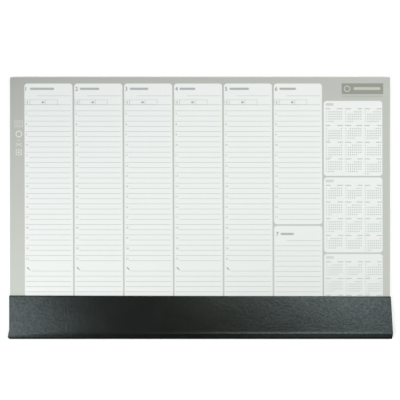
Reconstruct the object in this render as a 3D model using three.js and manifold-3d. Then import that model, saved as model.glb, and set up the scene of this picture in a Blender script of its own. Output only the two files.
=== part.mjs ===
// A weekly desk planner: a block of printed tear-off sheets glued along its front edge to a grey
// board, with a black leatherette strip that wraps the front edge from below and lies over the
// sheets as a flap stiffened by a board.
//
// Millimetres, +X to the writer's right, +Y away from the writer, +Z up, standing on Z = 0.
// The pieces are drawn with X from the middle of the sheets and Y from the foremost point of the
// strip, and the planner is then centred on its own footprint.

import * as THREE from "three";
import { mergeVertices } from "three/addons/utils/BufferGeometryUtils.js";
import Module from "manifold-3d";

const wasm = await Module();
wasm.setup();

// Overall size
const overallDepth = 410;
const sheetWidth = 595;

// Sheets, board and glue
const sheetCount = 52;
const sheetThickness = 0.102;
const backingThickness = 1.2;
const glueFilmThickness = 0.3;
const glueLine = 0.05; // between two faces that are glued or pressed together

// Leatherette strip
const skinThickness = 0.5;
const stripBoardThickness = 1.2;
const stripDepth = 66.9;
const underlapDepth = 40;
const turnInWidth = 15; // leatherette folded under the three free edges of the flap
const noseRadius = 3; // outer radius at the foremost edge and at the ridge above it
const ridgeSetback = 10.4; // from the foremost point to where the flap turns flat
const flapEdgeRadius = 0.7;
const sheetSetback = 6.5; // from the foremost point to the glued edge of the sheets

// Ends of the strip, each measured outwards from the side of the sheets
const leftOverhang = 0.8;
const leftBulge = 2.3; // where the turned-in corner bulges beside the fold
const leftBulgeSetback = 5.6;
const leftCornerRadius = 3.5;
const rightOverhang = 0.9; // at the free edge of the flap
const rightFlare = 3.9; // beside the ridge, because the end is cut out of square
const rightNoseOverhang = 2.6;
const rightCornerRadius = 0.8;

// Levels above the desk
const backingBottom = skinThickness + glueLine;
const backingTop = backingBottom + backingThickness;
const sheetsBottom = backingTop + glueLine;
const sheetsTop = sheetsBottom + sheetCount * sheetThickness;
const flapBottom = sheetsTop + glueLine;
const stripBoardBottom = flapBottom + skinThickness + glueLine;
const stripBoardTop = stripBoardBottom + stripBoardThickness;
const topSkinBottom = stripBoardTop + glueLine;
const stripTop = topSkinBottom + skinThickness;

// Sides
const sheetSide = sheetWidth / 2;
const leftEnd = -sheetSide - leftOverhang;
const rightEnd = sheetSide + rightOverhang;
const rightFlareEnd = sheetSide + rightFlare;

const curveSegments = 10;
const quarter = Math.PI / 2;

function solid(geometry) {
  geometry.deleteAttribute("normal");
  geometry.deleteAttribute("uv");
  const merged = mergeVertices(geometry);
  return new wasm.Manifold(
    new wasm.Mesh({
      numProp: 3,
      vertProperties: merged.attributes.position.array,
      triVerts: new Uint32Array(merged.index.array),
    }),
  );
}

function geometryOf(made) {
  const mesh = made.getMesh();
  return new THREE.BufferGeometry()
    .setAttribute("position", new THREE.BufferAttribute(mesh.vertProperties, 3))
    .setIndex(new THREE.BufferAttribute(mesh.triVerts, 1));
}

// A section drawn with Y across and Z up, run along X from one end to the other.
function alongX(section, from, to) {
  const geometry = new THREE.ExtrudeGeometry(section, {
    depth: to - from,
    bevelEnabled: false,
    curveSegments: curveSegments,
  });
  geometry.applyMatrix4(
    new THREE.Matrix4().makeBasis(
      new THREE.Vector3(0, 1, 0),
      new THREE.Vector3(0, 0, 1),
      new THREE.Vector3(1, 0, 0),
    ),
  );
  return geometry.translate(from, 0, 0);
}

// A plan drawn with X across and Y away, raised from one level to another.
function upright(plan, bottom, top) {
  return new THREE.ExtrudeGeometry(plan, {
    depth: top - bottom,
    bevelEnabled: false,
    curveSegments: curveSegments,
  }).translate(0, 0, bottom);
}

function block(width, front, back, bottom, top) {
  return new THREE.BoxGeometry(width, back - front, top - bottom).translate(
    0,
    (front + back) / 2,
    (bottom + top) / 2,
  );
}

function piece(name, geometry, colour, roughness) {
  geometry.computeVertexNormals();
  const mesh = new THREE.Mesh(
    geometry,
    new THREE.MeshStandardMaterial({ color: colour, roughness, metalness: 0 }),
  );
  mesh.name = name;
  return mesh;
}

// The fold in front of the sheets: two arcs of one radius, at the foremost edge and at the ridge,
// joined by the sloping front that touches both.
const noseCentre = new THREE.Vector2(noseRadius, noseRadius);
const ridgeCentre = new THREE.Vector2(ridgeSetback, stripTop - noseRadius);
const slopeNormal =
  Math.atan2(ridgeCentre.y - noseCentre.y, ridgeCentre.x - noseCentre.x) +
  quarter;

function arc(section, centre, radius, from, to, clockwise) {
  section.absarc(centre.x, centre.y, radius, from, to, clockwise);
}

// Centres of the two rounded corners along the free edge of the flap.
const flapEdge = stripDepth - flapEdgeRadius;
const topCorner = new THREE.Vector2(flapEdge, stripTop - flapEdgeRadius);
const bottomCorner = new THREE.Vector2(flapEdge, flapBottom + flapEdgeRadius);

// The skin seen from the side: under the backing, round the fold, over the flap and back under
// its free edge.
function skinSection() {
  const innerRadius = noseRadius - skinThickness;
  const section = new THREE.Shape();
  section.moveTo(underlapDepth, 0);
  section.lineTo(noseCentre.x, 0);
  arc(section, noseCentre, noseRadius, -quarter, Math.PI, true);
  arc(section, noseCentre, noseRadius, Math.PI, slopeNormal, true);
  arc(section, ridgeCentre, noseRadius, slopeNormal, quarter, true);
  arc(section, topCorner, flapEdgeRadius, quarter, 0, true);
  arc(section, bottomCorner, flapEdgeRadius, 0, -quarter, true);
  section.lineTo(stripDepth - turnInWidth, flapBottom);
  section.lineTo(stripDepth - turnInWidth, flapBottom + skinThickness);
  section.lineTo(stripDepth - skinThickness, flapBottom + skinThickness);
  section.lineTo(stripDepth - skinThickness, topSkinBottom);
  arc(section, ridgeCentre, innerRadius, quarter, slopeNormal, false);
  arc(section, noseCentre, innerRadius, slopeNormal, Math.PI, false);
  arc(section, noseCentre, innerRadius, Math.PI, -quarter, false);
  section.lineTo(underlapDepth, skinThickness);
  section.closePath();
  return section;
}

// The flap seen from the side, with both corners of its free edge rounded.
function flapSection() {
  const section = new THREE.Shape();
  section.moveTo(ridgeSetback, flapBottom);
  section.lineTo(flapEdge, flapBottom);
  arc(section, bottomCorner, flapEdgeRadius, -quarter, 0, false);
  arc(section, topCorner, flapEdgeRadius, 0, quarter, false);
  section.lineTo(ridgeSetback, stripTop);
  section.closePath();
  return section;
}

// The strip seen from above: straight at the left but for the bulge beside the fold, and slanting
// outwards to the ridge at the right.
function stripPlan() {
  const bulgeEnd = -sheetSide - leftBulge;
  const noseEnd = sheetSide + rightNoseOverhang;
  const plan = new THREE.Shape();
  plan.moveTo(leftEnd, stripDepth);
  plan.lineTo(leftEnd, ridgeSetback);
  plan.quadraticCurveTo(
    leftEnd,
    (ridgeSetback + leftBulgeSetback) / 2,
    bulgeEnd,
    leftBulgeSetback,
  );
  plan.lineTo(bulgeEnd, leftCornerRadius);
  plan.quadraticCurveTo(bulgeEnd, 0, bulgeEnd + leftCornerRadius, 0);
  plan.lineTo(noseEnd - rightCornerRadius, 0);
  plan.quadraticCurveTo(noseEnd, 0, noseEnd, rightCornerRadius);
  plan.lineTo(rightFlareEnd, ridgeSetback);
  plan.lineTo(rightEnd, stripDepth);
  plan.closePath();
  return plan;
}

// The flap's plan drawn in by one margin along its free edge and both ends, from a chosen front.
function flapPlan(margin, front) {
  const slant = (rightEnd - rightFlareEnd) / (stripDepth - ridgeSetback);
  const rightAt = (y) => rightFlareEnd + slant * (y - ridgeSetback) - margin;
  const back = stripDepth - margin;
  return new THREE.Shape([
    new THREE.Vector2(leftEnd + margin, front),
    new THREE.Vector2(rightAt(front), front),
    new THREE.Vector2(rightAt(back), back),
    new THREE.Vector2(leftEnd + margin, back),
  ]);
}

function stripCover() {
  const beyond = sheetSide + leftBulge + rightFlare;
  const skin = solid(alongX(skinSection(), -beyond, beyond));
  const slab = solid(alongX(flapSection(), -beyond, beyond));
  const pocket = solid(
    upright(
      flapPlan(skinThickness, ridgeSetback - noseRadius),
      flapBottom + skinThickness,
      topSkinBottom,
    ),
  );
  const window = solid(
    upright(
      flapPlan(turnInWidth, ridgeSetback - noseRadius),
      flapBottom - skinThickness,
      stripBoardBottom,
    ),
  );
  const outline = solid(upright(stripPlan(), -skinThickness, stripTop + skinThickness));
  const flap = slab.subtract(pocket).subtract(window);
  return geometryOf(skin.add(flap).intersect(outline));
}

function stripBoard() {
  return upright(
    flapPlan(skinThickness + glueLine, ridgeSetback + glueLine),
    stripBoardBottom,
    stripBoardTop,
  );
}

const planner = new THREE.Group();
planner.position.set((leftBulge - rightFlare) / 2, -overallDepth / 2, 0);
planner.add(
  piece(
    "backing_board",
    block(sheetWidth, sheetSetback, overallDepth, backingBottom, backingTop),
    0x9c978c,
    0.9,
  ),
  piece(
    "sheet_block",
    block(sheetWidth, sheetSetback, overallDepth, sheetsBottom, sheetsTop),
    0xeef1f1,
    0.8,
  ),
  piece(
    "glue_film",
    block(
      sheetWidth,
      sheetSetback - glueLine - glueFilmThickness,
      sheetSetback - glueLine,
      backingBottom,
      sheetsTop,
    ),
    0xe4e2d6,
    0.5,
  ),
  piece("strip_board", stripBoard(), 0x9c978c, 0.9),
  piece("strip_cover", stripCover(), 0x2a2c2b, 0.45),
);

const root = new THREE.Group();
root.add(planner);

export default root;
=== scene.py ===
"""The looks of a weekly desk planner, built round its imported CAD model.

The planner lies flat with its black leatherette strip towards -Y. The sheets are printed with a
grey tint round seven day panels and three year calendars. Lengths are in metres.
"""

import math
import random

import bmesh
import bpy
from mathutils import Matrix, Vector


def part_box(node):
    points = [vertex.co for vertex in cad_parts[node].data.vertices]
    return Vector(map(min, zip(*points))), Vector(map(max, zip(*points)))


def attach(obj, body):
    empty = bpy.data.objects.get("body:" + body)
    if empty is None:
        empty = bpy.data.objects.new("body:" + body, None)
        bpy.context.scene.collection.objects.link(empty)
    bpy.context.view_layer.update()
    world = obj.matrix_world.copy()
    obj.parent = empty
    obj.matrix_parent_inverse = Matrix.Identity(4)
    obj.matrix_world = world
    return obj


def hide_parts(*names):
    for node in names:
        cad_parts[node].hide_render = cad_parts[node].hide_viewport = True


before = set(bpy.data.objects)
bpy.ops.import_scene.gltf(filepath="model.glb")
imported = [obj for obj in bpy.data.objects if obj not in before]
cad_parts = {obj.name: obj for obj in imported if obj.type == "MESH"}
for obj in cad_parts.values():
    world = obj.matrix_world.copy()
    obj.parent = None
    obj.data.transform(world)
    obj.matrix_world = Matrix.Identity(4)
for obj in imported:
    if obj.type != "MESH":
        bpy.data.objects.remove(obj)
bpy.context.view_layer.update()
scene = bpy.context.scene

MM = 0.001

# Where the CAD pieces are
sheets_low, sheets_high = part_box("sheet_block")
cover_low, cover_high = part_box("strip_cover")
sheet_left = sheets_low.x
sheet_right = sheets_high.x
sheet_front = sheets_low.y
sheet_back = sheets_high.y
paper_level = sheets_high.z
strip_front = cover_low.y
strip_depth = cover_high.y - cover_low.y
sheet_width = sheet_right - sheet_left
sheet_depth = sheet_back - sheet_front

# Print, measured from the back left corner of the sheets
FIRST_PANEL = 22.75 * MM
PANEL_PITCH = 78.1 * MM
GUTTER = 2.7 * MM
PANEL_WIDTH = PANEL_PITCH - GUTTER
PANEL_TOP = 9.8 * MM
PANEL_RADIUS = 4.7 * MM
PANEL_END = 355 * MM  # under the flap
WEEKDAYS = 5
SATURDAY_END = 230.1 * MM
SUNDAY_TOP = 232.6 * MM
HEAD_LINE = 43.05 * MM
FIRST_LINE = 52.58 * MM
LINE_PITCH = 8.092 * MM
LINE_THICKNESS = 0.38 * MM
LAST_LINE = 36
MISSING_LINE = 31
SATURDAY_LAST_LINE = 22
SUNDAY_FIRST_LINE = 255.6 * MM
SUNDAY_LINE_PITCH = 8.02 * MM
SUNDAY_LINES = 11
LINE_START = 1.7 * MM
LINE_END = 2.5 * MM
HEAD_LINE_START = 1.0 * MM
HOUR_LINE_START = 5.0 * MM
LATE_LINE_START = 7.2 * MM  # beside an hour of two digits
LATE_HOUR = 10
PENCIL_LINE_START = 10.5 * MM
NAME_LINE = 28.9 * MM
NAME_LINE_START = 20 * MM
FIRST_HOUR = 7
LAST_HOUR = 21
SATURDAY_LAST_HOUR = 17
CALENDAR_LEFT = 491.35 * MM
CALENDAR_RIGHT = 583.0 * MM
CALENDAR_TOP = 37.0 * MM
CALENDAR_PITCH = 119.8 * MM
CALENDAR_GUTTER = 2.3 * MM
YEARS = 3
PRINT_LEAN = 0.003  # the print is a hair out of square with the sheets
UPRIGHT_PLACE = 114 * MM

# Ink lies this far above the paper
INK_BOTTOM = paper_level + 0.002 * MM
INK_TOP = paper_level + 0.03 * MM
UPPER_INK_BOTTOM = paper_level + 0.032 * MM
UPPER_INK_TOP = paper_level + 0.07 * MM
BADGE_INK_BOTTOM = UPPER_INK_TOP + 0.002 * MM
BADGE_INK_TOP = UPPER_INK_TOP + 0.03 * MM

# Camera
CAMERA_HEIGHT = 1.6  # above the paper
CAMERA_BACK = 12.8 * MM  # behind the planner's middle
VIEW_WIDTH = 626.3 * MM  # seen across at the paper
SENSOR = 36.0

camera_data = bpy.data.cameras.new("camera")
camera_data.sensor_width = SENSOR
camera_data.lens = SENSOR * CAMERA_HEIGHT / VIEW_WIDTH
camera = bpy.data.objects.new("camera", camera_data)
camera.location = ((sheet_left + sheet_right) / 2, CAMERA_BACK, paper_level + CAMERA_HEIGHT)
scene.collection.objects.link(camera)
scene.camera = camera
scene.view_settings.view_transform = "Standard"


# Lamps
def lamp(name, place, aim, size, watts, colour):
    """A rectangular lamp at a place, facing another."""
    data = bpy.data.lights.new(name, "AREA")
    data.shape = "RECTANGLE"
    data.size, data.size_y = size
    data.energy = watts
    data.color = colour
    light = bpy.data.objects.new(name, data)
    light.location = place
    light.rotation_euler = (Vector(aim) - Vector(place)).to_track_quat("-Z", "Y").to_euler()
    light.visible_camera = False
    scene.collection.objects.link(light)


WARM = (1.0, 0.985, 0.975)
COOL = (0.82, 0.98, 1.0)
GREEN = (0.92, 1.0, 0.7)
lamp("left_lamp", (-1.5, -0.6, 1.6), (0, 0, 0), (1.2, 1.2), 23.0, WARM)
lamp("right_lamp", (1.55, -0.2, 1.6), (0, 0, 0), (1.2, 1.2), 24.5, WARM)

# These show in the strip, as pale ends with a dark middle
lamp("left_reflector", (-0.89, -0.4, 1.9), (-0.3, -0.1, 0), (0.62, 0.66), 5.3, COOL)
lamp("right_reflector", (0.405, -0.195, 1.9), (0.25, -0.1, 0), (0.31, 0.7), 2.95, COOL)
lamp("middle_reflector", (0.1, -0.02, 1.95), (0.0, -0.1, 0), (0.7, 0.6), 0.62, GREEN)
lamp("left_front_reflector", (-0.92, -1.0, 1.85), (-0.3, -0.1, 0), (0.6, 0.4), 3.1, COOL)
lamp("right_front_reflector", (0.45, -1.05, 1.8), (0.2, -0.1, 0), (0.5, 0.8), 0.85, COOL)


class Value:
    """A node's output. Arithmetic on it adds Math nodes to its tree."""

    def __init__(self, finish, socket):
        self.finish = finish
        self.socket = socket

    def maths(self, operation, first, second):
        return self.finish.node("ShaderNodeMath", {"operation": operation}, {0: first, 1: second})

    def __add__(self, other):
        return self.maths("ADD", self, other)

    def __sub__(self, other):
        return self.maths("SUBTRACT", self, other)

    def __rsub__(self, other):
        return self.maths("SUBTRACT", other, self)

    def __mul__(self, other):
        return self.maths("MULTIPLY", self, other)

    def __or__(self, other):
        return self.maths("MAXIMUM", self, other)

    def power(self, exponent):
        return self.maths("POWER", self, exponent)

    __radd__ = __add__


class Finish:
    """A material or world, and what is needed to fill its node tree."""

    def __init__(self, owner):
        self.owner = owner
        owner.use_nodes = True
        self.tree = owner.node_tree

    def node(self, kind, settings=None, values=None, output=0):
        made = self.tree.nodes.new(kind)
        for name, setting in (settings or {}).items():
            setattr(made, name, setting)
        for name, value in (values or {}).items():
            self.put(made.inputs[name], value)
        return Value(self, made.outputs[output])

    def put(self, socket, value):
        if isinstance(value, Value):
            self.tree.links.new(value.socket, socket)
        else:
            socket.default_value = value

    def place(self):
        return self.node("ShaderNodeTexCoord", output="Object")

    def noise(self, size, detail):
        """Soft noise from 0 to 1 whose patches are about this large."""
        values = {"Vector": self.place(), "Scale": 1 / size, "Detail": detail}
        return self.node("ShaderNodeTexNoise", {}, values)

    def cells(self, size, kind="F1"):
        """Distance from the middle of cells that are about this large."""
        values = {"Vector": self.place(), "Scale": 1 / size}
        return self.node("ShaderNodeTexVoronoi", {"feature": kind}, values)

    def ramp(self, value, start, end):
        """0 to 1 while a value goes from start to end."""
        values = {"Value": value, "From Min": start, "From Max": end}
        return self.node("ShaderNodeMapRange", {"clamp": True}, values)

    def along(self, axis, start, end):
        """0 to 1 between two places along an axis."""
        apart = self.node("ShaderNodeSeparateXYZ", {}, {0: self.place()}, output=axis)
        return self.ramp(apart, start, end)

    def mix(self, share, first, second):
        """A colour between two others."""
        values = {0: share, 6: first, 7: second}
        return self.node("ShaderNodeMix", {"data_type": "RGBA"}, values, output=2)

    def bump(self, height, depth, strength):
        values = {"Height": height, "Distance": depth, "Strength": strength}
        return self.node("ShaderNodeBump", {}, values)

    def surface(self, **sockets):
        shader = self.tree.nodes["Principled BSDF"]
        for name, value in sockets.items():
            self.put(shader.inputs[name.replace("_", " ")], value)
        return self.owner


def material(name):
    return Finish(bpy.data.materials.new(name))


def linear(red, green, blue):
    """A colour of the screen, from 0 to 255, as the renderer wants it."""
    parts = [part / 255 for part in (red, green, blue)]
    return (*[((part + 0.055) / 1.055) ** 2.4 for part in parts], 1.0)


# Materials
def leatherette():
    """Black and satin, with a fine grain whose worn spots shine a little more."""
    finish = material("leatherette")
    pebbles = finish.cells(1.3 * MM, "SMOOTH_F1")
    creases = finish.noise(0.5 * MM, 3.0)
    dimples = finish.noise(3.4 * MM, 2.0)
    patches = finish.noise(22 * MM, 3.0)
    worn = finish.ramp(finish.noise(3.4 * MM, 3.0), 0.4, 0.65)
    height = pebbles * 0.25 + creases * 0.05 + dimples * 0.6
    return finish.surface(
        Base_Color=finish.mix(patches, (0.0025, 0.0036, 0.0025, 1), (0.0045, 0.0058, 0.0045, 1)),
        Roughness=0.15 + patches * 0.05 + creases * 0.05,
        Specular_IOR_Level=0.42,
        Coat_Weight=worn * 0.38,
        Coat_Roughness=0.2,
        Normal=finish.bump(height, 0.22 * MM, 0.6),
    )


def paper():
    """White, with painted shade that makes it a little darker towards the back left corner and the
    front right one.
    """
    finish = material("paper")
    fibres = finish.noise(0.4 * MM, 4.0)
    cloud = finish.noise(30 * MM, 2.0)
    share = fibres * 0.5 + cloud * 0.5
    unshaded_paper = finish.mix(share, linear(238, 239, 237), linear(241, 242, 240))
    # painted shade: the paper is darkest at the back left corner
    backward = finish.along("Y", sheet_front, sheet_back)
    leftward = finish.along("X", sheet_right, sheet_left)
    with_painted_shade = finish.mix((backward * leftward).power(2) * 0.85, unshaded_paper, linear(229, 231, 231))
    # painted shade towards the front right corner, mixed in below
    forward = finish.along("Y", sheet_back, sheet_front)
    rightward = finish.along("X", sheet_left, sheet_left + 0.75 * sheet_width)
    return finish.surface(
        Base_Color=finish.mix(forward * forward * rightward, with_painted_shade, linear(219, 221, 218)),
        Roughness=0.72 + fibres * 0.14,
        Normal=finish.bump(fibres, 0.01 * MM, 0.4),
    )


def grey_board():
    """Grey and matte, with pulp and flecks in it."""
    finish = material("grey_board")
    pulp = finish.noise(1.6 * MM, 5.0)
    flecks = finish.cells(2.2 * MM)
    cloud = finish.noise(25 * MM, 3.0)
    share = pulp * 0.5 + cloud * 0.3 + flecks * 0.2
    return finish.surface(
        Base_Color=finish.mix(share, linear(140, 136, 126), linear(178, 174, 164)),
        Roughness=0.82 + pulp * 0.12,
        Normal=finish.bump(pulp, 0.05 * MM, 0.6),
    )


def dried_glue():
    """Off-white, and smooth where it ran."""
    finish = material("dried_glue")
    drips = finish.noise(3 * MM, 3.0)
    return finish.surface(
        Base_Color=finish.mix(drips, linear(222, 219, 204), linear(238, 236, 226)),
        Roughness=0.38 + drips * 0.2,
        Normal=finish.bump(drips, 0.08 * MM, 0.5),
    )


INK_SPREAD = 3  # how many levels of 255 an ink varies, up and down


def ink(name, colour):
    """Printed ink: its colour breaks up a little on the paper's fibres."""
    finish = material(name)
    fibres = finish.noise(0.5 * MM, 3.0)
    cloud = finish.noise(18 * MM, 2.0)
    share = fibres * 0.6 + cloud * 0.4
    dark = linear(*[part - INK_SPREAD for part in colour])
    light = linear(*[part + INK_SPREAD for part in colour])
    return finish.surface(
        Base_Color=finish.mix(share, dark, light),
        Roughness=0.6 + fibres * 0.15,
    )


def tint_ink():
    """The border's grey, with painted shade: darker towards the back left corner and a little
    towards the front right one.
    """
    finish = material("tint_ink")
    fibres = finish.noise(0.5 * MM, 3.0)
    # painted shade: darkest at the back left corner, and a little at the front right one
    forward = finish.along("Y", sheet_back, sheet_front)
    rightward = finish.along("X", sheet_left, sheet_right)
    back_left_shade = (1 - forward.power(0.6)) * (1 - rightward.power(0.6) * 0.62)
    share = 1 - back_left_shade - forward * rightward * 0.45 + (fibres - 0.5) * 0.12
    return finish.surface(
        Base_Color=finish.mix(share, linear(168, 167, 162), linear(204, 206, 199)),
        Roughness=0.6 + fibres * 0.15,
    )


# Floor and room
FLOOR_REACH = 25.0  # from its middle to each side
FAR_START = 1.5  # from here on the floor fades to white
FAR_END = 4.5


def floor():
    """A pale floor that keeps the planner's shadow and stays pale far from the lamps."""
    bm = bmesh.new()
    bmesh.ops.create_grid(bm, x_segments=1, y_segments=1, size=FLOOR_REACH)
    mesh = bpy.data.meshes.new("floor")
    bm.to_mesh(mesh)
    bm.free()
    ground = bpy.data.objects.new("floor", mesh)
    scene.collection.objects.link(ground)
    finish = material("floor")
    rays = finish.tree.nodes.new("ShaderNodeLightPath")
    camera_ray = Value(finish, rays.outputs["Is Camera Ray"])
    glossy_ray = Value(finish, rays.outputs["Is Glossy Ray"])
    clear_ray = Value(finish, rays.outputs["Is Transmission Ray"])
    seen = camera_ray | glossy_ray | clear_ray
    away = finish.node(
        "ShaderNodeVectorMath", {"operation": "LENGTH"}, {0: finish.place()}, output="Value"
    )
    far = finish.ramp(away, FAR_START, FAR_END)
    glow = seen * 0.3 + camera_ray * far * 0.4
    ground.data.materials.append(
        finish.surface(
            Base_Color=(0.86, 0.86, 0.86, 1),
            Roughness=0.9,
            Emission_Color=finish.mix(glow, (0, 0, 0, 1), (1, 1, 1, 1)),
            Emission_Strength=1.0,
        )
    )


def room():
    """Pale walls near the horizon, a dark ceiling, and darker still in front of the planner."""
    world = bpy.data.worlds.new("room")
    scene.world = world
    finish = Finish(world)
    heading = finish.node("ShaderNodeTexCoord", output="Generated")
    upward = finish.node("ShaderNodeSeparateXYZ", {}, {0: heading}, output="Z")
    backward = finish.node("ShaderNodeSeparateXYZ", {}, {0: heading}, output="Y")
    frontward = (0 - backward) | 0
    climb = finish.node(
        "ShaderNodeMapRange",
        {"interpolation_type": "SMOOTHSTEP"},
        {"Value": upward * (1 + frontward * 3), "From Min": 0.25, "From Max": 0.7},
    )
    walls = finish.mix(climb, (1, 1, 1, 1), (0.04, 0.042, 0.042, 1))
    finish.put(finish.tree.nodes["Background"].inputs["Color"], walls)


# Mesh helpers
def linked(name, bm, finish):
    """The bmesh as a piece that rides on the planner."""
    mesh = bpy.data.meshes.new(name)
    bm.to_mesh(mesh)
    bm.free()
    piece = bpy.data.objects.new(name, mesh)
    scene.collection.objects.link(piece)
    mesh.materials.append(finish)
    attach(piece, "root")
    return piece


def add_plate(bm, low, high):
    """A flat block between two corners."""
    low, high = Vector(low), Vector(high)
    stretch = Matrix.Diagonal((*(high - low), 1))
    bmesh.ops.create_cube(bm, size=1, matrix=Matrix.Translation((low + high) / 2) @ stretch)


def lean(top):
    """How far the print stands to the right at this distance from the back."""
    return (top - UPRIGHT_PLACE) * PRINT_LEAN


def ink_levels(upper):
    return (UPPER_INK_BOTTOM, UPPER_INK_TOP) if upper else (INK_BOTTOM, INK_TOP)


def add_print(bm, left, top, width, height, upper=False):
    """A printed block, placed by its back left corner as print is."""
    bottom, level = ink_levels(upper)
    x = sheet_left + left + lean(top)
    y = sheet_back - top
    add_plate(bm, (x, y - height, bottom), (x + width, y, level))


def add_stroke(bm, start, end, thickness, upper=False):
    """A straight printed stroke between two places, in any direction."""
    bottom, level = ink_levels(upper)
    first = Vector((sheet_left + start[0], sheet_back - start[1], (bottom + level) / 2))
    last = Vector((sheet_left + end[0], sheet_back - end[1], (bottom + level) / 2))
    run = last - first
    turn = Matrix.Rotation(math.atan2(run.y, run.x), 4, "Z")
    stretch = Matrix.Diagonal((run.length, thickness, level - bottom, 1))
    bmesh.ops.create_cube(bm, size=1, matrix=Matrix.Translation((first + last) / 2) @ turn @ stretch)


def add_frame(bm, left, top, width, height, thickness, upper=False):
    """The outline of a printed box."""
    inner = height - 2 * thickness
    add_print(bm, left, top, width, thickness, upper)
    add_print(bm, left, top + height - thickness, width, thickness, upper)
    add_print(bm, left, top + thickness, thickness, inner, upper)
    add_print(bm, left + width - thickness, top + thickness, thickness, inner, upper)


ROUND_END = 2.01  # a bar's height over its corner radius, which is just short of half of it
CORNER_STEPS = 8


def rounded_outline(left, top, width, height, radius):
    """Points round a rectangle with round corners."""
    corners = (
        (left + width - radius, top + radius, 0),
        (left + radius, top + radius, 1),
        (left + radius, top + height - radius, 2),
        (left + width - radius, top + height - radius, 3),
    )
    points = []
    for x, y, quarter in corners:
        for step in range(CORNER_STEPS + 1):
            angle = math.pi / 2 * (quarter + step / CORNER_STEPS)
            along = y - radius * math.sin(angle)
            points.append((x + radius * math.cos(angle) + lean(along), along))
    return points


def flat_print(name, outlines, bottom, top, finish):
    """One printed area: the first outline with the others cut out of it, or several outlines."""
    curve = bpy.data.curves.new(name, "CURVE")
    curve.dimensions = "2D"
    curve.fill_mode = "BOTH"
    curve.extrude = 0.5
    for outline in outlines:
        spline = curve.splines.new("POLY")
        spline.points.add(len(outline) - 1)
        for point, (x, y) in zip(spline.points, outline):
            point.co = (x / MM, -y / MM, 0, 1)
        spline.use_cyclic_u = True
    holder = bpy.data.objects.new(name, curve)
    mesh = bpy.data.meshes.new_from_object(holder)
    bpy.data.objects.remove(holder)
    bm = bmesh.new()
    bm.from_mesh(mesh)
    bpy.data.meshes.remove(mesh)
    bmesh.ops.remove_doubles(bm, verts=bm.verts, dist=0.001)
    bmesh.ops.recalc_face_normals(bm, faces=bm.faces)
    size = Matrix.Diagonal((MM, MM, top - bottom, 1))
    place = Matrix.Translation((sheet_left, sheet_back, (bottom + top) / 2))
    bmesh.ops.transform(bm, matrix=place @ size, verts=bm.verts)
    return linked(name, bm, finish)


numeral_meshes = {}


def numeral(label):
    """The label as a flat closed mesh whose digits are 1 high and start at the origin."""
    if label not in numeral_meshes:
        text = bpy.data.curves.new(label, "FONT")
        text.body = label
        text.resolution_u = 2
        text.extrude = 0.5
        holder = bpy.data.objects.new(label, text)
        mesh = bpy.data.meshes.new_from_object(holder)
        bpy.data.objects.remove(holder)
        xs = [vertex.co.x for vertex in mesh.vertices]
        ys = [vertex.co.y for vertex in mesh.vertices]
        size = 1 / (max(ys) - min(ys))
        stretch = Matrix.Diagonal((size, size, 1, 1))
        mesh.transform(stretch @ Matrix.Translation((-min(xs), -min(ys), 0)))
        numeral_meshes[label] = mesh
    return numeral_meshes[label]


def add_numeral(bm, label, left, base, height):
    """A printed numeral, placed by the left end of the line that it stands on."""
    copy = numeral(label).copy()
    place = Matrix.Translation(
        (sheet_left + left + lean(base), sheet_back - base, (INK_BOTTOM + INK_TOP) / 2)
    )
    copy.transform(place @ Matrix.Diagonal((height, height, INK_TOP - INK_BOTTOM, 1)))
    bm.from_mesh(copy)
    bpy.data.meshes.remove(copy)


# The leatherette strip
FLAP_LEVEL = cover_high.z - 0.14 * MM  # behind the raised ridge
SKIN = 0.5 * MM
UNDERLAP = 40 * MM
flap_underside = paper_level + 0.05 * MM

# The section, from the back of the underlap round the fold and the flap: the distance back from
# the foremost point, the height, how far the corner is rounded, and in how many steps.
SECTION = (
    (UNDERLAP, 0, 0, 0),
    (0, 0, 2.6 * MM, 6),
    (0, 6.2 * MM, 2.4 * MM, 6),
    (3.0 * MM, 8.55 * MM, 1.2 * MM, 4),
    (5.6 * MM, 8.9 * MM, 0.7 * MM, 3),
    (8.7 * MM, cover_high.z, 0.55 * MM, 4),
    (9.6 * MM, cover_high.z, 0.3 * MM, 3),
    (11.6 * MM, FLAP_LEVEL, 1.0 * MM, 3),
    (strip_depth, FLAP_LEVEL, 0.8 * MM, 4),
    (strip_depth, flap_underside, 0.5 * MM, 3),
    (7.0 * MM, flap_underside, 0, 0),
    (6.0 * MM, 8.15 * MM, 0, 0),
    (3.2 * MM, 7.9 * MM, 0, 0),
    (SKIN, 5.9 * MM, 0, 0),
    (SKIN, SKIN, 0, 0),
    (UNDERLAP, SKIN, 0, 0),
)

# Its ends, outwards from the side of the sheets and backwards from the foremost point
LEFT_OVERHANG = 1.2 * MM
LEFT_BULGE = 3.1 * MM
BULGE_END = 9.0 * MM
BULGE_START = 5.3 * MM
LEFT_CORNER = 4.5 * MM
RIGHT_OVERHANG = 1.2 * MM
RIGHT_FLARE = 4.5 * MM
FLARE_START = 10.4 * MM
RIGHT_NOSE = 3.1 * MM
RIGHT_CORNER = 0.8 * MM
FRONT_FULLNESS = 0.72 * MM  # how far the fold stands proud of its lining
LEFT_DEPTH = 1.4 * MM  # the flap is this much deeper at its left end than at its right
END_ROUNDING = 0.35 * MM  # along both ends of the flap
END_ROUNDING_START = 12 * MM

# The ledge and the ridge, which sink into the flap towards its left end
LEDGE = 8.3 * MM  # the upper face of the fold lies above this
SINK_START = 3 * MM  # behind the foremost point
FOLD_END = 12 * MM
LEVEL_START = 20 * MM  # from the left end
LEVEL_END = 110 * MM
LEVELLING = 0.96  # the share of their height that they lose there

# Cuts that let the strip bend, and its waviness
STATIONS = 75
FLAP_CUTS = (15, 22, 30, 38, 46, 54, 61, 65.4)  # in millimetres from the foremost point
END_CUT = 0.9 * MM
WAVE_START = 15 * MM
WAVE_HEIGHT = 0.06 * MM
WAVY_ABOVE = paper_level + 1.2 * MM


def between(start, end, share):
    return start + (end - start) * min(max(share, 0.0), 1.0)


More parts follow.
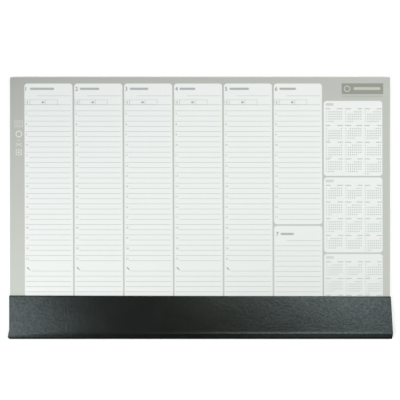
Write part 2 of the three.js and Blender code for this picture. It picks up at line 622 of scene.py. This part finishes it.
def corner_pull(back, radius):
    """How far a round corner draws an end inwards at this distance from the foremost point."""
    into = max(radius - back, 0.0)
    return radius - math.sqrt(max(radius**2 - into**2, 0.0))


def left_overhang(back):
    share = (BULGE_END - back) / (BULGE_END - BULGE_START)
    smooth = between(0, 1, share)
    smooth = smooth * smooth * (3 - 2 * smooth)
    return LEFT_OVERHANG + (LEFT_BULGE - LEFT_OVERHANG) * smooth - corner_pull(back, LEFT_CORNER)


def right_overhang(back):
    if back > FLARE_START:
        share = (back - FLARE_START) / (strip_depth - FLARE_START)
        return between(RIGHT_FLARE, RIGHT_OVERHANG, share)
    return between(RIGHT_NOSE, RIGHT_FLARE, back / FLARE_START) - corner_pull(back, RIGHT_CORNER)


def wave(x, y):
    """The slight unevenness of leatherette glued over board."""
    slow = math.sin(x * 31 + 1.0) * math.sin(y * 70 + 0.6)
    quick = math.sin(x * 83 + y * 45 + 2.0) * math.sin(y * 130 + x * 20)
    return (0.6 * slow + 0.4 * quick) * WAVE_HEIGHT


def puffed(across, back, height):
    """The height of the fold's ledge and ridge, which almost run into one level at the left."""
    if back > FOLD_END or height < LEDGE:
        return height
    nearness = between(0, 1, (LEVEL_END - across) / (LEVEL_END - LEVEL_START))
    share = LEVELLING * nearness * between(0.5, 1.0, (back - SINK_START) / SINK_START)
    return height + (FLAP_LEVEL - height) * share


def leatherette_strip():
    """The section run across and cut up, then bent into the strip's outline."""
    bm = bmesh.new()
    corners = [bm.verts.new((0, back, height)) for back, height, _, _ in SECTION]
    bm.faces.new(corners)
    for corner, (_, _, rounding, steps) in zip(corners, SECTION):
        if rounding:
            bmesh.ops.bevel(
                bm,
                geom=[corner],
                offset=rounding,
                segments=steps,
                profile=0.5,
                affect="VERTICES",
                material=-1,
            )
    face = bm.faces[:][0]
    run = bmesh.ops.extrude_face_region(bm, geom=[face])
    far_end = [item for item in run["geom"] if isinstance(item, bmesh.types.BMVert)]
    bmesh.ops.translate(bm, verts=far_end, vec=(sheet_width, 0, 0))
    bmesh.ops.recalc_face_normals(bm, faces=bm.faces)

    def at_an_end(edge):
        first, second = edge.verts
        return first.co.x == second.co.x

    def on_the_flap(edge):
        return all(v.co.y > END_ROUNDING_START and v.co.z > paper_level for v in edge.verts)

    bmesh.ops.bevel(
        bm,
        geom=[edge for edge in bm.edges if at_an_end(edge) and on_the_flap(edge)],
        offset=END_ROUNDING,
        segments=3,
        profile=0.5,
        affect="EDGES",
        material=-1,
    )
    long_edges = [e for e in bm.edges if abs(e.verts[0].co.x - e.verts[1].co.x) > sheet_width / 2]
    bmesh.ops.subdivide_edges(bm, edges=long_edges, cuts=STATIONS, use_grid_fill=True)
    cuts = [((0, back * MM, 0), (0, 1, 0)) for back in FLAP_CUTS]
    cuts += [((across, 0, 0), (1, 0, 0)) for across in (END_CUT, sheet_width - END_CUT)]
    for place, facing in cuts:
        cut = bm.verts[:] + bm.edges[:] + bm.faces[:]
        bmesh.ops.bisect_plane(bm, geom=cut, plane_co=place, plane_no=facing)
    for vertex in bm.verts:
        across, back, height = vertex.co
        share = across / sheet_width
        left = sheet_left - left_overhang(back)
        right = sheet_right + right_overhang(back)
        vertex.co.x = left + (right - left) * share
        extra = FRONT_FULLNESS + LEFT_DEPTH * (1 - share)
        vertex.co.y = strip_front - FRONT_FULLNESS + back * (1 + extra / strip_depth)
        vertex.co.z = puffed(across, back, height)
        if height > WAVY_ABOVE and back > WAVE_START:
            vertex.co.z = height + wave(vertex.co.x, vertex.co.y)
    strip = linked("leatherette_strip", bm, leatherette())
    strip.data.shade_smooth()
    strip.data.set_sharp_from_angle(angle=math.radians(40))
    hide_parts("strip_cover")


# The sheets
SHEETS = 52
SIDE_DRIFT = 0.12  # the usual drift of a sheet to a side, in millimetres
SHORTFALL = 0.15  # how far a sheet's back edge usually stays short, in millimetres
SHEET_FILL = 0.96  # the share of a sheet's height that is paper, the rest being air


def tear_off_sheets():
    """Every sheet of the block, with edges that don't quite line up."""
    chance = random.Random(52)
    pitch = (sheets_high.z - sheets_low.z) / SHEETS
    bm = bmesh.new()
    for number in range(SHEETS):
        top_sheet = number == SHEETS - 1
        drift = 0 if top_sheet else chance.gauss(0, SIDE_DRIFT) * MM
        short = 0 if top_sheet else abs(chance.gauss(0, SHORTFALL)) * MM
        bottom = sheets_low.z + number * pitch
        low = (sheet_left + drift, sheet_front, bottom)
        high = (sheet_right + drift, sheet_back - short, bottom + pitch * SHEET_FILL)
        add_plate(bm, low, high)
    stack = linked("tear_off_sheets", bm, paper())
    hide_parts("sheet_block")


# The print
def panel_left(number):
    return FIRST_PANEL + number * PANEL_PITCH


def calendar_top(year):
    return CALENDAR_TOP + year * CALENDAR_PITCH


def border_tint():
    """Grey over the whole sheet, with a window for each panel."""
    windows = []
    for number in range(WEEKDAYS):
        windows.append((panel_left(number), PANEL_TOP, PANEL_WIDTH, PANEL_END - PANEL_TOP))
    saturday = panel_left(WEEKDAYS)
    windows.append((saturday, PANEL_TOP, PANEL_WIDTH, SATURDAY_END - PANEL_TOP))
    windows.append((saturday, SUNDAY_TOP, PANEL_WIDTH, PANEL_END - SUNDAY_TOP))
    width = CALENDAR_RIGHT - CALENDAR_LEFT
    for year in range(YEARS):
        top = calendar_top(year)
        end = min(top + CALENDAR_PITCH - CALENDAR_GUTTER, PANEL_END)
        windows.append((CALENDAR_LEFT, top, width, end - top))
    outer = [(0, 0), (sheet_width, 0), (sheet_width, sheet_depth), (0, sheet_depth)]
    outlines = [outer] + [rounded_outline(*window, PANEL_RADIUS) for window in windows]
    flat_print("border_tint", outlines, INK_BOTTOM, INK_TOP, tint_ink())


def hour_line(hour):
    return 2 * (hour - FIRST_HOUR + 1)


def line_place(line):
    """A ruled line's distance from the back. The first one ends the row of boxes."""
    return HEAD_LINE if line == 0 else FIRST_LINE + (line - 1) * LINE_PITCH


def ruled_lines():
    """The lines of every panel, with a shorter one under each day's name."""
    bm = bmesh.new()
    for number in range(WEEKDAYS + 1):
        left = panel_left(number)
        last = SATURDAY_LAST_LINE if number == WEEKDAYS else LAST_LINE
        for line in range(last + 1):
            if line == MISSING_LINE:
                continue
            start = LINE_START
            if line == 0:
                start = HEAD_LINE_START
            elif line == MISSING_LINE + 1:
                start = PENCIL_LINE_START
            elif line % 2 == 0 and line < MISSING_LINE:
                hour = FIRST_HOUR - 1 + line // 2
                start = HOUR_LINE_START if hour < LATE_HOUR else LATE_LINE_START
            top = line_place(line) - LINE_THICKNESS / 2
            add_print(bm, left + start, top, PANEL_WIDTH - start - LINE_END, LINE_THICKNESS)
        width = PANEL_WIDTH - NAME_LINE_START - LINE_END
        add_print(bm, left + NAME_LINE_START, NAME_LINE, width, LINE_THICKNESS)
    left = panel_left(WEEKDAYS)
    for line in range(SUNDAY_LINES):
        start = NAME_LINE_START if line == 0 else LINE_START
        top = SUNDAY_FIRST_LINE + line * SUNDAY_LINE_PITCH
        add_print(bm, left + start, top, PANEL_WIDTH - start - LINE_END, LINE_THICKNESS)
    linked("ruled_lines", bm, ink("line_ink", (150, 155, 151)))


HOUR_INSET = 2.3 * MM
HOUR_RISE = 1.5 * MM  # above its line
HOUR_HEIGHT = 3.2 * MM


def hour_numerals():
    """The hours of the day, each at the left end of its line."""
    bm = bmesh.new()
    for number in range(WEEKDAYS + 1):
        last = SATURDAY_LAST_HOUR if number == WEEKDAYS else LAST_HOUR
        for hour in range(FIRST_HOUR, last + 1):
            base = line_place(hour_line(hour)) - HOUR_RISE
            add_numeral(bm, str(hour), panel_left(number) + HOUR_INSET, base, HOUR_HEIGHT)
    linked("hour_numerals", bm, ink("numeral_ink", (156, 162, 158)))


HEADING_LENGTHS = (45, 37.5, 36, 31.5, 37.5, 33)  # in millimetres
HEADING_INSET = 1.8 * MM
HEADING_BASE = 21.2 * MM
HEADING_HEIGHT = 6.2 * MM
SUNDAY_HEADING_INSET = 3.0 * MM
SUNDAY_HEADING_BASE = 248.5 * MM
SUNDAY_HEADING_LENGTH = 28 * MM
HEADING_BAR_START = 7 * MM  # right of where the numeral starts
HEADING_BAR_RISE = 4.8 * MM  # from the numeral's base to the bar's top
HEADING_BAR_HEIGHT = 3.4 * MM


def headings():
    """A numeral for each day, and a soft bar where its name would be."""
    numerals = bmesh.new()
    bars = []
    for number, length in enumerate(HEADING_LENGTHS):
        left = panel_left(number) + HEADING_INSET
        add_numeral(numerals, str(number + 1), left, HEADING_BASE, HEADING_HEIGHT)
        bars.append((left, HEADING_BASE, length * MM))
    left = panel_left(WEEKDAYS) + SUNDAY_HEADING_INSET
    add_numeral(numerals, str(WEEKDAYS + 2), left, SUNDAY_HEADING_BASE, HEADING_HEIGHT)
    bars.append((left, SUNDAY_HEADING_BASE, SUNDAY_HEADING_LENGTH))
    linked("heading_numerals", numerals, ink("heading_ink", (112, 116, 110)))
    outlines = [
        rounded_outline(
            left + HEADING_BAR_START,
            base - HEADING_BAR_RISE,
            length - HEADING_BAR_START,
            HEADING_BAR_HEIGHT,
            HEADING_BAR_HEIGHT / ROUND_END,
        )
        for left, base, length in bars
    ]
    flat_print("heading_bars", outlines, INK_BOTTOM, INK_TOP, ink("bar_ink", (174, 178, 176)))


BOX_TOP = 35.2 * MM
BOX_THICKNESS = 0.3 * MM
BOXES = ((1.0, 7.6), (8.4, 24.6), (32.8, 19.2))  # start and width, in millimetres
BOX_MARKS = ((4.0, 2.0, 1.3, 4.2), (27.0, 2.6, 3.8, 3.0))  # start, drop, width and height


def week_boxes():
    """The row of small boxes at the head of each panel."""
    bm = bmesh.new()
    marks = bmesh.new()
    height = HEAD_LINE - BOX_TOP
    for number in range(WEEKDAYS + 1):
        left = panel_left(number)
        for start, width in BOXES:
            add_frame(bm, left + start * MM, BOX_TOP, width * MM, height, BOX_THICKNESS)
        for start, drop, width, tall in BOX_MARKS:
            add_print(marks, left + start * MM, BOX_TOP + drop * MM, width * MM, tall * MM)
    linked("week_boxes", bm, ink("box_ink", (150, 156, 152)))
    linked("week_box_marks", marks, ink("box_mark_ink", (172, 177, 173)))


# A pencil's shaft and its point, in millimetres: where each starts and ends, and its thickness
PENCIL = (((4.2, 297.6), (7.4, 300.8), 1.2), ((7.7, 301.1), (9.3, 302.7), 0.6))


def pencil_marks():
    """A short slanting pencil where each panel's note lines start."""
    bm = bmesh.new()
    for number in range(WEEKDAYS):
        left = panel_left(number)
        for (x, y), (end_x, end_y), thickness in PENCIL:
            start = (left + x * MM, y * MM)
            end = (left + end_x * MM, end_y * MM)
            add_stroke(bm, start, end, thickness * MM)
    linked("pencil_marks", bm, ink("pencil_ink", (96, 99, 94)))


CALENDAR_INSET = 2.9 * MM
YEAR_DROP = 3.5 * MM
YEAR_WIDTH = 12.6 * MM
YEAR_HEIGHT = 4.2 * MM
YEAR_ROUNDING = YEAR_HEIGHT / 2.5
MONTH_COLUMNS = 3
MONTH_PITCH = 30.5 * MM
MONTH_WIDTH = 26.9 * MM
MONTH_ROW_PITCH = 26.15 * MM
MONTH_TOP = 12.5 * MM
MONTH_RISE = 0.7 * MM
MONTH_HEIGHT = 1.3 * MM
MONTH_ROOM = 8 * MM  # a month starts at least this far before the print's end
MONTH_LENGTHS = (31, 28, 31, 30, 31, 30, 31, 31, 30, 31, 30, 31)
WEEK = 7
FIRST_DAY_LEFT = 4.2 * MM
FIRST_DAY_TOP = 3.9 * MM
DAY_PITCH = 3.27 * MM
DAY_ROW_PITCH = 3.7 * MM
DAY_WIDTH = 1.75 * MM
DAY_HEIGHT = 1.7 * MM
DAY_ROOM = 2 * MM
ROW_MARK_LEFT = 0.6 * MM
ROW_MARK_WIDTH = 1.2 * MM
ROW_MARK_HEIGHT = 1.5 * MM


def month_marks_at(month):
    """The lengths of a month's two marks, which differ as those of words do."""
    name = (7.4 + 2.1 * ((month * 5) % 3) / 2) * MM
    other = (9.0 - 1.2 * ((month * 7) % 4) / 2) * MM
    return name, other


def year_calendars():
    """Three generic calendars: a mark for the year, two for each month and one for each day."""
    years = []
    months = bmesh.new()
    days = bmesh.new()
    weekday = 0
    left = CALENDAR_LEFT + CALENDAR_INSET
    for year in range(YEARS):
        top = calendar_top(year)
        years.append((left, top + YEAR_DROP, YEAR_WIDTH, YEAR_HEIGHT))
        for month, length in enumerate(MONTH_LENGTHS):
            row, column = divmod(month, MONTH_COLUMNS)
            x = left + column * MONTH_PITCH
            y = top + MONTH_TOP + row * MONTH_ROW_PITCH
            first_weekday = weekday
            weekday = (weekday + length) % WEEK
            if y > PANEL_END - MONTH_ROOM:
                continue
            name, other = month_marks_at(month)
            add_print(months, x, y - MONTH_RISE, name, MONTH_HEIGHT)
            add_print(months, x + MONTH_WIDTH - other, y - MONTH_RISE, other, MONTH_HEIGHT)
            for day in range(length):
                week, place = divmod(first_weekday + day, WEEK)
                day_x = x + FIRST_DAY_LEFT + place * DAY_PITCH
                day_y = y + FIRST_DAY_TOP + week * DAY_ROW_PITCH
                if day_y > PANEL_END - DAY_ROOM:
                    continue
                add_print(days, day_x, day_y, DAY_WIDTH, DAY_HEIGHT)
                if place == 0 or day == 0:
                    add_print(days, x + ROW_MARK_LEFT, day_y, ROW_MARK_WIDTH, ROW_MARK_HEIGHT)
    outlines = [rounded_outline(*year, YEAR_ROUNDING) for year in years]
    flat_print("year_marks", outlines, INK_BOTTOM, INK_TOP, ink("year_ink", (208, 213, 210)))
    linked("month_marks", months, ink("month_ink", (186, 190, 186)))
    linked("day_marks", days, ink("day_ink", (190, 195, 188)))


BADGE_LEFT = 519.6 * MM
BADGE_TOP = 9.5 * MM
BADGE_WIDTH = 65.0 * MM
BADGE_HEIGHT = 17.0 * MM
UNDERLINE_DROP = 19.2 * MM
UNDERLINE_HEIGHT = 2.6 * MM

# Inside it, in millimetres from its corner: start, drop, width, height and corner radius
BADGE_BAR = (18.6, 6.0, 42, 4.4, 4.4 / ROUND_END)
BADGE_RING = (3.5, 3.5, 10, 10, 4.9)
BADGE_RING_HOLE = (5.0, 5.0, 7, 7, 3.4)


def corner_badge():
    """A plain grey field at the back right corner, with a ring and a bar in it and one below."""
    field = bmesh.new()
    add_print(field, BADGE_LEFT, BADGE_TOP, BADGE_WIDTH, BADGE_HEIGHT, upper=True)
    linked("corner_badge", field, ink("badge_ink", (150, 153, 142)))
    outlines = []
    for start, drop, width, height, radius in (BADGE_BAR, BADGE_RING, BADGE_RING_HOLE):
        left = BADGE_LEFT + start * MM
        top = BADGE_TOP + drop * MM
        outlines.append(rounded_outline(left, top, width * MM, height * MM, radius * MM))
    flat_print(
        "badge_marks",
        outlines,
        BADGE_INK_BOTTOM,
        BADGE_INK_TOP,
        ink("pale_ink", (196, 199, 189)),
    )
    below = bmesh.new()
    add_print(
        below, BADGE_LEFT, BADGE_TOP + UNDERLINE_DROP, BADGE_WIDTH, UNDERLINE_HEIGHT, upper=True
    )
    linked("badge_underline", below, ink("underline_ink", (180, 184, 174)))


MARGIN_LEFT = 9.4 * MM
MARGIN_THIN = 0.6 * MM
MARGIN_THICK = 0.9 * MM

# The marks in the left margin, in millimetres: start, place, width and height
MARGIN_BOX = (-2.0, 68, 12.5, 10)
MARGIN_INNER_BOX = (1.2, 70.4, 6, 5.2)
MARGIN_BAR_START = 2 * MM
MARGIN_BAR_TOP = 98.6 * MM
MARGIN_BAR_WIDTH = 5 * MM
CROSS_TOP = 103.4 * MM
CROSS_BOTTOM = 107.2 * MM
CROSS_WIDTH = 8.6 * MM
MARGIN_SQUARE = (0, 113.2, 9, 8.8)
MARGIN_INNER_SQUARE = (3.2, 116.3, 2.6, 2.6)

# The ring among them, with the radius as well
MARGIN_RING = (-0.6, 83.7, 10.4, 10.4, 5.15)
MARGIN_RING_HOLE = (0.7, 85.0, 7.8, 7.8, 3.85)


def in_the_margin(start, *measures):
    """A margin mark's measures in metres, with its start counted from the sheet's side."""
    return (MARGIN_LEFT + start * MM, *[measure * MM for measure in measures])


def margin_marks():
    """Pale outline marks: box in box, ring, flat cross under a bar, and square in square."""
    bm = bmesh.new()
    add_frame(bm, *in_the_margin(*MARGIN_BOX), MARGIN_THIN, upper=True)
    add_frame(bm, *in_the_margin(*MARGIN_INNER_BOX), MARGIN_THIN, upper=True)
    bar_left = MARGIN_LEFT + MARGIN_BAR_START
    add_print(bm, bar_left, MARGIN_BAR_TOP, MARGIN_BAR_WIDTH, MARGIN_THIN, upper=True)
    for start, end in ((CROSS_TOP, CROSS_BOTTOM), (CROSS_BOTTOM, CROSS_TOP)):
        near = (MARGIN_LEFT, start)
        far = (MARGIN_LEFT + CROSS_WIDTH, end)
        add_stroke(bm, near, far, MARGIN_THICK, upper=True)
    add_frame(bm, *in_the_margin(*MARGIN_SQUARE), MARGIN_THICK, upper=True)
    add_print(bm, *in_the_margin(*MARGIN_INNER_SQUARE), upper=True)
    pale = ink("margin_ink", (224, 227, 221))
    linked("margin_marks", bm, pale)
    rings = [rounded_outline(*in_the_margin(*ring)) for ring in (MARGIN_RING, MARGIN_RING_HOLE)]
    flat_print("margin_ring", rings, UPPER_INK_BOTTOM, UPPER_INK_TOP, pale)


def dress(node, finish):
    """A CAD node's own mesh in a finished material."""
    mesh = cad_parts[node].data
    mesh.materials.clear()
    mesh.materials.append(finish)


floor()
room()
leatherette_strip()
tear_off_sheets()
border_tint()
ruled_lines()
hour_numerals()
headings()
week_boxes()
pencil_marks()
year_calendars()
corner_badge()
margin_marks()
board = grey_board()
dress("backing_board", board)
dress("strip_board", board)
dress("glue_film", dried_glue())
